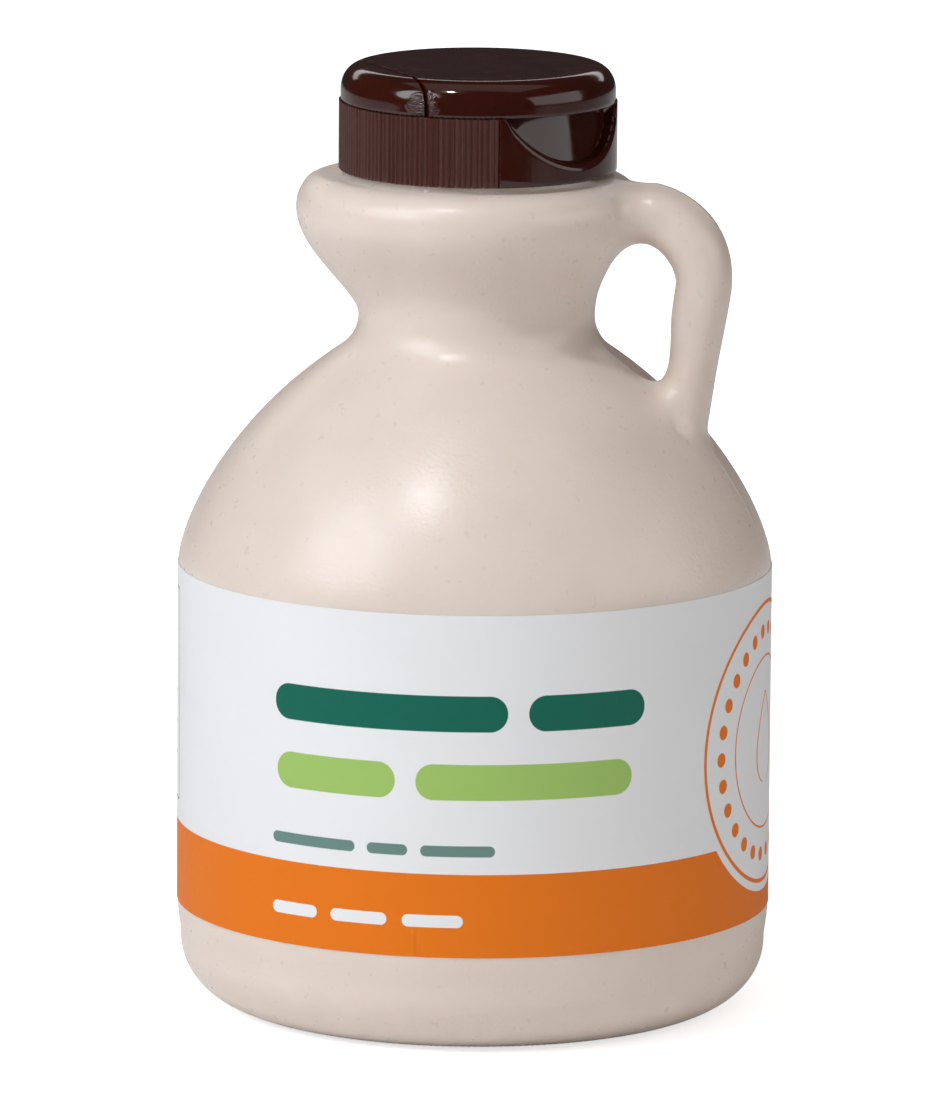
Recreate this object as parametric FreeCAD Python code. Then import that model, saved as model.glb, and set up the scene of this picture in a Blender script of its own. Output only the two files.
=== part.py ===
"""Handled syrup jug with a pouring lip, a wrapped label and a flip-top screw cap.

Frame: millimetres, +Z up, origin at the centre of the base. The handle stands towards +X,
the pouring lip points to -X and the label's face is towards -Y.
"""

import FreeCAD, Part
import math
import os

from FreeCAD import Vector

# ---- Jug body -----------------------------------------------------------------------------
BODY_RADIUS = 43.0  # label panel
PANEL_TOP = 64.8  # height where the straight wall ends and the shoulder starts
BASE_CORNER_REACH = 11.0  # how far the rounded base corner reaches inwards
BASE_CORNER_RISE = 14.5  # how far it climbs the wall
BASE_CORNER_STEPS = 8
STANDING_RING = 5.0  # width of the ring that the jug stands on
PUSH_UP_DEPTH = 1.6  # shallow recess inside that ring

# ---- Shoulder and waist ---------------------------------------------------------------------
WAIST_RADIUS = 17.1
WAIST_RISE = 36.2  # waist above the top of the straight wall
WAIST_FILLET = 6.1
SHOULDER_SLOPE = math.radians(55.7)  # from the vertical, where the shoulder meets the waist
SHOULDER_EASE_WALL = 3.7  # how soon the shoulder leaves the wall
SHOULDER_EASE_WAIST = 22.0  # how long it keeps the waist's slope

# ---- Cap ------------------------------------------------------------------------------------
CAP_RADIUS = 20.1
SKIRT_HEIGHT = 10.0
RIB_DEPTH = 0.28
RIB_PITCH = 0.8
GROOVE_SHARE = 0.35  # of the pitch
SMOOTH_ZONE_START = math.radians(20.0)  # no ribs round the thumb recess
SMOOTH_ZONE_END = math.radians(101.0)
RECESS_AZIMUTH = math.radians(60.0)
RECESS_HALF_WIDTH = 12.3
RECESS_DROP = 7.4  # down the skirt
RECESS_INSET = 2.6  # into the skirt
RECESS_SLOPE = math.radians(18.0)  # of the recess's floor
LID_HEIGHT = 5.1
LID_SETBACK = 0.25  # lid and rear segment stand back from the ribs
LID_EDGE = 3.0
SPLIT_AZIMUTH = math.radians(-55.0)  # middle of the fixed rear segment
SPLIT_OFFSET = 14.2  # from the axis to the rear segment
SPLIT_GAP = 0.5

# ---- Neck and head: the flared bulb above the waist -------------------------------------------
NECK_SETBACK = 1.1  # neck inside the cap's outer face
NECK_RISE = 1.0  # head's flat top to the cap's lower edge
HEAD_RISE = 20.3  # waist to the head's flat top
HEAD_LEDGE = 0.4  # flat ring between the neck and the rounded edge
HEAD_EDGE = 4.2  # rounding of the head's top edge
FLANK_EASE_WAIST = 7.5  # how soon the flank flares out of the waist
FLANK_EASE_EDGE = 5.0  # how soon it turns upright under the rounded edge

# ---- Pouring lip ------------------------------------------------------------------------------
LIP_STANDOUT = 3.0  # tip of the lip beyond the round head
LIP_ROOT_SINK = 0.5  # its foot's depth inside the waist
LIP_CENTRE = 10.0  # from the axis to the middle of its sections
LIP_HALF_WIDTH = 13.0
LIP_BAND = 0.2  # upright band under its rounded edge
LIP_LEVELS = 6

# ---- Handle -----------------------------------------------------------------------------------
HANDLE_THICKNESS = 8.2
HANDLE_WIDTH = 10.6
HANDLE_TOP_DROP = 4.1  # centre line's top run below the head's flat top
FINGER_GAP = 12.3  # waist to the inside of the handle
HANDLE_BEND = 10.2
HANDLE_LEAN = math.radians(8.5)  # inwards on the way down

# ---- Label ------------------------------------------------------------------------------------
LABEL_THICKNESS = 0.12
LABEL_MARGIN_BELOW = 0.65  # above the base corner
LABEL_MARGIN_ABOVE = 0.1  # under the shoulder

WAIST_Z = PANEL_TOP + WAIST_RISE
HEAD_TOP = WAIST_Z + HEAD_RISE
CAP_BASE = HEAD_TOP + NECK_RISE
LID_BASE = CAP_BASE + SKIRT_HEIGHT
NECK_RADIUS = CAP_RADIUS - NECK_SETBACK
HEAD_RADIUS = NECK_RADIUS + HEAD_LEDGE + HEAD_EDGE
FLANK_TOP = HEAD_TOP - HEAD_EDGE
LIP_REACH = HEAD_RADIUS + LIP_STANDOUT
HANDLE_REACH = WAIST_RADIUS + FINGER_GAP + HANDLE_THICKNESS / 2


def towards(azimuth, radius=1.0, height=0.0):
    """Point at an azimuth counted from -Y towards +X."""
    return Vector(radius * math.sin(azimuth), -radius * math.cos(azimuth), height)


def cylinder(radius, bottom, height):
    return Part.makeCylinder(radius, height, Vector(0, 0, bottom))


def polyline(points):
    return [Part.makeLine(start, end) for start, end in zip(points, points[1:])]


def base_corner(stand_out):
    """Quarter of an ellipse from the standing ring up to the wall."""
    quarter = [i * math.pi / 2 / BASE_CORNER_STEPS for i in range(BASE_CORNER_STEPS + 1)]
    points = [
        Vector(
            stand_out + BASE_CORNER_REACH * math.sin(turn),
            0,
            BASE_CORNER_RISE * (1 - math.cos(turn)),
        )
        for turn in quarter
    ]
    curve = Part.BSplineCurve()
    curve.interpolate(Points=points, InitialTangent=Vector(1, 0, 0), FinalTangent=Vector(0, 0, 1))
    return curve.toShape()


def waist_point(slope):
    """Point of the waist's hollow where its wall has this slope from the vertical."""
    return Vector(
        WAIST_RADIUS + WAIST_FILLET * (1 - math.cos(slope)),
        0,
        WAIST_Z - WAIST_FILLET * math.sin(slope),
    )


def bezier(start, leaves, arrives, end):
    """Curve between two points, led by one handle at each end."""
    curve = Part.BezierCurve()
    curve.setPoles([start, start + leaves, end - arrives, end])
    return curve.toShape()


def shoulder():
    """Curve from the straight wall in to the waist's hollow."""
    up_slope = Vector(-math.sin(SHOULDER_SLOPE), 0, math.cos(SHOULDER_SLOPE))
    return bezier(
        Vector(BODY_RADIUS, 0, PANEL_TOP),
        Vector(0, 0, SHOULDER_EASE_WALL),
        up_slope * SHOULDER_EASE_WAIST,
        waist_point(SHOULDER_SLOPE),
    )


def head_outline():
    """Flank, rounded edge and flat top of the head, then the neck up to the cap."""
    flank_end = Vector(HEAD_RADIUS, 0, FLANK_TOP)
    flank = bezier(
        waist_point(0), Vector(0, 0, FLANK_EASE_WAIST), Vector(0, 0, FLANK_EASE_EDGE), flank_end
    )
    inner = HEAD_RADIUS - HEAD_EDGE
    diagonal = HEAD_EDGE * math.sqrt(0.5)
    middle = Vector(inner + diagonal, 0, FLANK_TOP + diagonal)
    edge = Part.Arc(flank_end, middle, Vector(inner, 0, HEAD_TOP)).toShape()
    neck = [
        Vector(inner, 0, HEAD_TOP),
        Vector(NECK_RADIUS, 0, HEAD_TOP),
        Vector(NECK_RADIUS, 0, CAP_BASE),
        Vector(0, 0, CAP_BASE),
    ]
    return [flank, edge] + polyline(neck)


def body():
    """All that is round: base, label panel, shoulder, waist, head and neck."""
    stand_out = BODY_RADIUS - BASE_CORNER_REACH
    stand_in = stand_out - STANDING_RING
    underside = [
        Vector(0, 0, CAP_BASE),
        Vector(0, 0, PUSH_UP_DEPTH),
        Vector(stand_in - PUSH_UP_DEPTH, 0, PUSH_UP_DEPTH),
        Vector(stand_in, 0, 0),
        Vector(stand_out, 0, 0),
    ]
    wall = [Vector(BODY_RADIUS, 0, BASE_CORNER_RISE), Vector(BODY_RADIUS, 0, PANEL_TOP)]
    hollow = Part.Arc(waist_point(SHOULDER_SLOPE), waist_point(SHOULDER_SLOPE / 2), waist_point(0))
    outline = polyline(underside) + [base_corner(stand_out)] + polyline(wall)
    outline += [shoulder(), hollow.toShape()] + head_outline()
    return Part.Face(Part.Wire(outline)).revolve(Vector(), Vector(0, 0, 1), 360)


def eased(share):
    """From 0 to 1, leaving slowly and arriving slowly."""
    return share * share * (3 - 2 * share)


def lip():
    """Pouring lip: widening ellipses from inside the waist up to the head's rounded edge."""
    sections = []
    foot = WAIST_RADIUS - LIP_ROOT_SINK
    height = FLANK_TOP - LIP_BAND - WAIST_Z
    for level in range(LIP_LEVELS + 1):
        share = level / LIP_LEVELS
        flare = 0.65 * math.sin(share * math.pi / 2) + 0.35 * eased(share)
        reach = foot + (LIP_REACH - foot) * flare
        centre = Vector(-LIP_CENTRE, 0, WAIST_Z + height * share)
        across = centre + Vector(0, LIP_HALF_WIDTH * reach / LIP_REACH, 0)
        tip = centre - Vector(reach - LIP_CENTRE, 0, 0)
        longer, shorter = sorted((across, tip), key=centre.distanceToPoint, reverse=True)
        sections.append(Part.Wire(Part.Ellipse(longer, shorter, centre).toShape()))
    rim = Part.Face(sections[-1]).extrude(Vector(0, 0, HEAD_EDGE + LIP_BAND))
    top = [e for e in rim.Edges if e.BoundBox.ZMin > FLANK_TOP]
    return Part.makeLoft(sections, True).fuse(rim.makeFillet(HEAD_EDGE, top))


def handle():
    """Rounded bar from the head's flank, out, round and down into the shoulder."""
    top = HEAD_TOP - HANDLE_TOP_DROP
    centre = Vector(HANDLE_REACH - HANDLE_BEND, 0, top - HANDLE_BEND)
    turn = math.pi / 2 + HANDLE_LEAN

    def on_bend(angle):
        return centre + Vector(HANDLE_BEND * math.sin(angle), 0, HANDLE_BEND * math.cos(angle))

    start = Vector(WAIST_RADIUS / 2, 0, top)
    bend_end = on_bend(turn)
    drop = bend_end.z - PANEL_TOP
    foot = bend_end - Vector(drop * math.tan(HANDLE_LEAN), 0, drop)
    bend = Part.Arc(on_bend(0), on_bend(turn / 2), bend_end).toShape()
    path = Part.Wire([Part.makeLine(start, on_bend(0)), bend, Part.makeLine(bend_end, foot)])
    broad = start + Vector(0, HANDLE_WIDTH / 2, 0)
    thick = start + Vector(0, 0, HANDLE_THICKNESS / 2)
    section = Part.Wire(Part.Ellipse(broad, thick, start).toShape())
    return path.makePipeShell([section], True, False)


def jug():
    """The moulded bottle: body, pouring lip and handle in one piece."""
    return body().fuse(lip()).fuse(handle()).removeSplitter()


def label():
    """Sleeve wrapped once round the straight wall."""
    bottom = BASE_CORNER_RISE + LABEL_MARGIN_BELOW
    height = PANEL_TOP - LABEL_MARGIN_ABOVE - bottom
    outside = cylinder(BODY_RADIUS + LABEL_THICKNESS, bottom, height)
    return outside.cut(cylinder(BODY_RADIUS, bottom, height))


def ribbed_outline():
    """Skirt outline: a circle with a shallow groove between each two ribs."""
    ribbed = 2 * math.pi - (SMOOTH_ZONE_END - SMOOTH_ZONE_START)
    count = int(ribbed * CAP_RADIUS / RIB_PITCH)
    step = ribbed / count
    floor = CAP_RADIUS - RIB_DEPTH
    points = []
    for rib in range(count):
        groove = SMOOTH_ZONE_END + rib * step
        land = groove + step * GROOVE_SHARE
        points += [towards(groove, CAP_RADIUS, CAP_BASE), towards(groove, floor, CAP_BASE)]
        points += [towards(land, floor, CAP_BASE), towards(land, CAP_RADIUS, CAP_BASE)]
    points.append(towards(SMOOTH_ZONE_START, CAP_RADIUS, CAP_BASE))
    middle = towards((SMOOTH_ZONE_START + SMOOTH_ZONE_END) / 2, CAP_RADIUS, CAP_BASE)
    smooth = Part.Arc(points[-1], middle, points[0]).toShape()
    return Part.Wire(polyline(points) + [smooth])


def thumb_recess():
    """Cutter under the lid's edge: round below, with a sloping floor and an upright back wall."""
    sagitta = CAP_RADIUS - math.sqrt(CAP_RADIUS**2 - RECESS_HALF_WIDTH**2)
    narrowing = math.tan(RECESS_SLOPE)
    lost = sagitta * narrowing
    radius = (RECESS_HALF_WIDTH**2 + RECESS_DROP**2 - lost**2) / (2 * (RECESS_DROP - lost))
    centre = LID_BASE - RECESS_DROP + radius
    cone = Part.makeCone(
        radius - CAP_RADIUS * narrowing,
        radius,
        CAP_RADIUS,
        towards(RECESS_AZIMUTH, 0, centre),
        towards(RECESS_AZIMUTH),
    )
    ring = cylinder(CAP_RADIUS + RECESS_INSET, CAP_BASE, SKIRT_HEIGHT)
    ring = ring.cut(cylinder(CAP_RADIUS - RECESS_INSET, CAP_BASE, SKIRT_HEIGHT))
    return ring.common(cone)


def lid_blank():
    """Disc with a rounded upper edge on top of the skirt, before it is split."""
    disc = cylinder(CAP_RADIUS - LID_SETBACK, LID_BASE, LID_HEIGHT)
    upper = [e for e in disc.Edges if e.BoundBox.ZMin > LID_BASE + LID_HEIGHT / 2]
    return disc.makeFillet(LID_EDGE, upper)


def beyond_split(offset):
    """Block that covers all that lies beyond a plane across the split's direction."""
    size = 4 * CAP_RADIUS
    block = Part.makeBox(size, size, size, Vector(-size / 2, -size - offset, -size / 4))
    block.rotate(Vector(), Vector(0, 0, 1), math.degrees(SPLIT_AZIMUTH))
    return block.translated(Vector(0, 0, LID_BASE))


def cap_base():
    """Ribbed skirt with the thumb recess, and the fixed rear segment on top of it."""
    skirt = Part.Face(ribbed_outline()).extrude(Vector(0, 0, SKIRT_HEIGHT)).cut(thumb_recess())
    return skirt.fuse(lid_blank().common(beyond_split(SPLIT_OFFSET)))


def cap_lid():
    """Flip lid, shut, a gap away from the rear segment."""
    return lid_blank().cut(beyond_split(SPLIT_OFFSET - SPLIT_GAP))


def main():
    os.makedirs("parts", exist_ok=True)
    for make in (jug, label, cap_base, cap_lid):
        shape = make()
        shape.exportStep(f"parts/{make.__name__}.step")
        box = shape.BoundBox
        print(
            f"{make.__name__}: {len(shape.Solids)} solid, valid {shape.isValid()}, "
            f"{shape.Volume:.0f} mm3, x {box.XMin:.2f} to {box.XMax:.2f}, "
            f"z {box.ZMin:.2f} to {box.ZMax:.2f}"
        )


main()
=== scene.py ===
"""Looks of a small handled jug with a wrap label and a flip cap.

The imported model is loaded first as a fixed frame; every piece below is made in
metres in that same frame, with its object left at the origin.
"""

import logging
import math
from dataclasses import dataclass, field
from enum import Enum
from typing import Callable, Iterable, Optional, Union

import bmesh
import bpy
from mathutils import Matrix, Vector
from mathutils.bvhtree import BVHTree


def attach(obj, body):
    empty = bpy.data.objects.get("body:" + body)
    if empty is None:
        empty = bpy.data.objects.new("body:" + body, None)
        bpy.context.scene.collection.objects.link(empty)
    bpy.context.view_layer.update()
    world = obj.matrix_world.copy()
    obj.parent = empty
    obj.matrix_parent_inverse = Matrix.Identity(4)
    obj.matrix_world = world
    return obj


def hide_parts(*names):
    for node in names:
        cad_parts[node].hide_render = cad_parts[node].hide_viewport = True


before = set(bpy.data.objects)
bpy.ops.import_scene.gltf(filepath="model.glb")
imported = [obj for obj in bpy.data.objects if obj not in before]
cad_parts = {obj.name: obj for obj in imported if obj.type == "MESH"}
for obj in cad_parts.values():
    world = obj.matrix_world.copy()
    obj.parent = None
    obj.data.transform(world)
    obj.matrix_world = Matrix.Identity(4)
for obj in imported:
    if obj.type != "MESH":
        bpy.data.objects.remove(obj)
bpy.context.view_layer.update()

log = logging.getLogger("jug")

MM = 0.001
BODY = "root"
Point2 = tuple[float, float]
Point3 = tuple[float, float, float]
Colour = tuple[float, float, float]
Socket = bpy.types.NodeSocket
Value = Union[float, Socket]


class Slot(Enum):
    """The record's material slots."""

    JUG = "jug"
    LABEL = "label"
    CAP = "cap"


# --------------------------------------------------------------------------
# Small tools of the bench
# --------------------------------------------------------------------------


def bezier(start: Point2, lead: Point2, follow: Point2, end: Point2, steps: int) -> list[Point2]:
    """Points on a cubic curve.

    Args:
        start: First point.
        lead: Handle of the first point.
        follow: Handle of the last point.
        end: Last point.
        steps: Number of spans.

    Returns:
        The points, both ends among them.
    """
    points = []
    for step in range(steps + 1):
        t = step / steps
        a, b, c, d = (1 - t) ** 3, 3 * (1 - t) ** 2 * t, 3 * (1 - t) * t * t, t**3
        points.append(
            (
                a * start[0] + b * lead[0] + c * follow[0] + d * end[0],
                a * start[1] + b * lead[1] + c * follow[1] + d * end[1],
            )
        )
    return points


def quarter(centre: Point2, reach: float, rise: float, first: float, last: float, steps: int) -> list[Point2]:
    """Points on part of an ellipse.

    Args:
        centre: Middle of the ellipse.
        reach: Half width.
        rise: Half height.
        first: First angle in degrees, counted from the outward direction.
        last: Last angle in degrees.
        steps: Number of spans.

    Returns:
        The points, both ends among them.
    """
    points = []
    for step in range(steps + 1):
        angle = math.radians(first + (last - first) * step / steps)
        points.append((centre[0] + reach * math.cos(angle), centre[1] + rise * math.sin(angle)))
    return points


def eased(value: float) -> float:
    """A value between 0 and 1 with soft ends."""
    value = min(1.0, max(0.0, value))
    return value * value * (3 - 2 * value)


def blend_lists(first: list[Point2], second: list[Point2], share: float) -> list[Point2]:
    """Points part of the way from one outline to another of as many points."""
    return [
        (a[0] + (b[0] - a[0]) * share, a[1] + (b[1] - a[1]) * share) for a, b in zip(first, second)
    ]


def put_down() -> None:
    """Leaves edit mode and deselects every object."""
    if bpy.context.object and bpy.context.object.mode != "OBJECT":
        bpy.ops.object.mode_set(mode="OBJECT")
    bpy.ops.object.select_all(action="DESELECT")


def take_up(piece: bpy.types.Object) -> None:
    """Makes one object the only one in hand."""
    put_down()
    piece.select_set(True)
    bpy.context.view_layer.objects.active = piece


def seat(piece: bpy.types.Object, name: str) -> bpy.types.Object:
    """Names a new object and moves its place into its mesh."""
    take_up(piece)
    bpy.ops.object.transform_apply(location=True, rotation=True, scale=True)
    piece.name = name
    piece.data.name = name
    return piece


def ring_shell(name: str, columns: int, rows: int, shape: Callable[[int, int], Point3]) -> bpy.types.Object:
    """A tube drawn up ring by ring from a circle, then pressed to shape.

    Args:
        name: Name of the object.
        columns: Points round each ring.
        rows: Number of rings.
        shape: Gives the place, in millimetres, of a point from its row and column.

    Returns:
        The open tube.
    """
    put_down()
    bpy.ops.mesh.primitive_circle_add(vertices=columns, radius=1, location=(0, 0, 0))
    piece = seat(bpy.context.object, name)
    bpy.ops.object.mode_set(mode="EDIT")
    bpy.ops.mesh.select_all(action="SELECT")
    for _ in range(rows - 1):
        bpy.ops.mesh.extrude_region_move(TRANSFORM_OT_translate={"value": (0, 0, 1)})
    bpy.ops.object.mode_set(mode="OBJECT")
    for vertex in piece.data.vertices:
        row = round(vertex.co.z)
        turn = math.atan2(vertex.co.x, -vertex.co.y) / math.tau * columns
        place = shape(row, round(turn) % columns)
        vertex.co = Vector(place) * MM
    return piece


def close_ends(piece: bpy.types.Object) -> None:
    """Fills the open rings of a shell and turns its faces outwards."""
    take_up(piece)
    bpy.ops.object.mode_set(mode="EDIT")
    bpy.ops.mesh.select_all(action="SELECT")
    bpy.ops.mesh.fill_holes(sides=0)
    bpy.ops.mesh.select_all(action="SELECT")
    bpy.ops.mesh.normals_make_consistent(inside=False)
    bpy.ops.object.mode_set(mode="OBJECT")


def lathe(name: str, outline: list[Point2], columns: int) -> bpy.types.Object:
    """A closed turned solid from an outline of (radius, height) in millimetres."""

    def shape(row: int, column: int) -> Point3:
        radius, height = outline[row]
        angle = math.tau * column / columns
        return (radius * math.sin(angle), -radius * math.cos(angle), height)

    piece = ring_shell(name, columns, len(outline), shape)
    close_ends(piece)
    return piece


def apply_modifier(piece: bpy.types.Object, kind: str, **settings: object) -> None:
    """Adds a modifier with these settings and applies it."""
    take_up(piece)
    modifier = piece.modifiers.new(kind.title(), kind)
    for key, value in settings.items():
        setattr(modifier, key, value)
    bpy.ops.object.modifier_apply(modifier=modifier.name)


def join(pieces: list[bpy.types.Object], name: str) -> bpy.types.Object:
    """Joins objects into the first of them."""
    take_up(pieces[0])
    for piece in pieces:
        piece.select_set(True)
    bpy.ops.object.join()
    joined = bpy.context.object
    joined.name = name
    joined.data.name = name
    return joined


def copy_of(piece: bpy.types.Object, name: str) -> bpy.types.Object:
    """A copy with its own mesh."""
    twin = piece.copy()
    twin.data = piece.data.copy()
    twin.name = name
    bpy.context.scene.collection.objects.link(twin)
    return twin


def throw_away(pieces: Iterable[bpy.types.Object]) -> None:
    """Removes helper objects."""
    for piece in pieces:
        bpy.data.objects.remove(piece)


def smooth_shade(piece: bpy.types.Object, degrees: float) -> None:
    """Smooth shading with edges above an angle kept sharp."""
    take_up(piece)
    bpy.ops.object.shade_smooth_by_angle(angle=math.radians(degrees))


# --------------------------------------------------------------------------
# Finishes
# --------------------------------------------------------------------------


class Workings:
    """Makes the shader nodes of one material."""

    def __init__(self, name: str) -> None:
        """Starts a material with one plain shader."""
        self.material = bpy.data.materials.new(name)
        self.material.use_nodes = True
        self.tree = self.material.node_tree
        self.tree.nodes.clear()
        self.output = self.tree.nodes.new("ShaderNodeOutputMaterial")
        self.shader = self.tree.nodes.new("ShaderNodeBsdfPrincipled")
        self.link(self.shader.outputs["BSDF"], self.output.inputs["Surface"])
        self._place: Optional[bpy.types.Node] = None

    def link(self, source: Socket, target: Socket) -> None:
        """Joins two sockets."""
        self.tree.links.new(source, target)

    def put(self, value: Value, target: Socket) -> None:
        """Sets a socket from a number, a colour or another socket."""
        if isinstance(value, bpy.types.NodeSocket):
            self.link(value, target)
        else:
            target.default_value = value

    def math(self, operation: str, first: Value, second: Value = 0.0, third: Value = 0.0) -> Socket:
        """One sum of up to three values."""
        node = self.tree.nodes.new("ShaderNodeMath")
        node.operation = operation
        for value, target in zip((first, second, third), node.inputs):
            self.put(value, target)
        return node.outputs[0]

    def place(self) -> Socket:
        """The place on the object, in metres."""
        if self._place is None:
            self._place = self.tree.nodes.new("ShaderNodeTexCoord")
        return self._place.outputs["Object"]

    def axes(self) -> tuple[Socket, Socket, Socket]:
        """The place on the object in millimetres, axis by axis."""
        node = self.tree.nodes.new("ShaderNodeSeparateXYZ")
        self.link(self.place(), node.inputs[0])
        return tuple(self.math("MULTIPLY", socket, 1000.0) for socket in node.outputs)

    def noise(self, size: float, detail: float = 2.0, stretch: Point3 = (1, 1, 1)) -> Socket:
        """Soft noise with grains of about this many millimetres, from 0 to 1."""
        mapping = self.tree.nodes.new("ShaderNodeMapping")
        mapping.inputs["Scale"].default_value = stretch
        self.link(self.place(), mapping.inputs["Vector"])
        node = self.tree.nodes.new("ShaderNodeTexNoise")
        node.inputs["Scale"].default_value = 1.0 / (size * MM)
        node.inputs["Detail"].default_value = detail
        self.link(mapping.outputs[0], node.inputs["Vector"])
        return node.outputs["Fac"]

    def span(self, value: Value, low: float, high: float, to_low: float, to_high: float) -> Socket:
        """A value stretched from one span to another and kept inside it."""
        node = self.tree.nodes.new("ShaderNodeMapRange")
        self.put(value, node.inputs["Value"])
        for name, number in (("From Min", low), ("From Max", high), ("To Min", to_low), ("To Max", to_high)):
            node.inputs[name].default_value = number
        return node.outputs[0]

    def mix(self, share: Value, first: object, second: object) -> Socket:
        """Two colours mixed."""
        node = self.tree.nodes.new("ShaderNodeMix")
        node.data_type = "RGBA"
        self.put(share, node.inputs["Factor"])
        for value, target in ((first, node.inputs[6]), (second, node.inputs[7])):
            if isinstance(value, bpy.types.NodeSocket):
                self.link(value, target)
            else:
                target.default_value = (*value, 1.0)
        return node.outputs[2]

    def bump(self, height: Value, depth: float, under: Optional[Socket] = None) -> Socket:
        """A surface normal from a height of 0 to 1, with its depth in millimetres."""
        node = self.tree.nodes.new("ShaderNodeBump")
        node.inputs["Distance"].default_value = depth * MM
        self.put(height, node.inputs["Height"])
        if under is not None:
            self.link(under, node.inputs["Normal"])
        return node.outputs[0]

    def bar(self, across: Value, up: Value, middle: Point2, half: Point2, corner: float, soft: float = 0.05) -> Socket:
        """A round-cornered bar.

        Args:
            across: Place across, in millimetres.
            up: Place up, in millimetres.
            middle: Middle of the bar.
            half: Half its width and height.
            corner: Corner radius.
            soft: Width of its edge.

        Returns:
            1 inside the bar and 0 outside.
        """
        dx = self.math("SUBTRACT", self.math("ABSOLUTE", self.math("SUBTRACT", across, middle[0])), half[0] - corner)
        dz = self.math("SUBTRACT", self.math("ABSOLUTE", self.math("SUBTRACT", up, middle[1])), half[1] - corner)
        return self.within(self.length(self.math("MAXIMUM", dx, 0.0), self.math("MAXIMUM", dz, 0.0)), corner, soft)

    def length(self, first: Value, second: Value) -> Socket:
        """The length of a flat vector."""
        total = self.math("ADD", self.math("MULTIPLY", first, first), self.math("MULTIPLY", second, second))
        return self.math("SQRT", total)

    def within(self, distance: Value, limit: float, soft: float = 0.05) -> Socket:
        """1 where a distance is under its limit, 0 beyond it."""
        return self.span(distance, limit - soft, limit + soft, 1.0, 0.0)

    def line(self, distance: Value, middle: float, width: float, soft: float = 0.05) -> Socket:
        """1 on a line of this width, 0 beside it."""
        off = self.math("ABSOLUTE", self.math("SUBTRACT", distance, middle))
        return self.within(off, width / 2, soft)

    def both(self, first: Value, second: Value) -> Socket:
        """1 where both are 1."""
        return self.math("MULTIPLY", first, second)

    def either(self, first: Value, second: Value) -> Socket:
        """1 where one of them is 1."""
        return self.math("MAXIMUM", first, second)

    def finish(self, colour: object, roughness: Value, normal: Optional[Socket], **constants: float) -> bpy.types.Material:
        """Sets the shader.

        Args:
            colour: A colour or a socket.
            roughness: A number or a socket.
            normal: The bumped normal, if any.
            **constants: Plain numbers for sockets named with underscores.

        Returns:
            The material.
        """
        if isinstance(colour, bpy.types.NodeSocket):
            self.link(colour, self.shader.inputs["Base Color"])
        else:
            self.shader.inputs["Base Color"].default_value = (*colour, 1.0)
        self.put(roughness, self.shader.inputs["Roughness"])
        if normal is not None:
            self.link(normal, self.shader.inputs["Normal"])
        for key, number in constants.items():
            self.shader.inputs[key.replace("_", " ")].default_value = number
        return self.material


@dataclass(frozen=True)
class MouldedPlastic:
    """The jug's satin milk-tea plastic with its orange-peel skin."""

    colour: Colour = (0.715, 0.612, 0.542)
    deep: Colour = (0.692, 0.584, 0.512)
    roughness: float = 0.31
    grain: float = 0.55
    grain_depth: float = 0.040
    ripple: float = 3.2
    ripple_depth: float = 0.035
    seam_width: float = 0.35
    seam_depth: float = 0.10

    def material(self) -> bpy.types.Material:
        """The node material."""
        make = Workings("satin jug plastic")
        _, depth, _ = make.axes()
        cloud = make.noise(14.0, 2.0)
        colour = make.mix(make.span(cloud, 0.35, 0.65, 0.0, 1.0), self.colour, self.deep)
        grain = make.noise(self.grain, 3.0)
        ripple = make.noise(self.ripple, 2.0)
        seam = make.within(make.math("ABSOLUTE", depth), self.seam_width / 2, self.seam_width / 2)
        normal = make.bump(ripple, self.ripple_depth)
        normal = make.bump(grain, self.grain_depth, normal)
        normal = make.bump(seam, self.seam_depth, normal)
        roughness = make.span(make.noise(1.4, 3.0), 0.3, 0.7, self.roughness - 0.04, self.roughness + 0.05)
        return make.finish(
            colour, roughness, normal, Subsurface_Weight=0.12, Subsurface_Scale=0.004, IOR=1.5
        )


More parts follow.
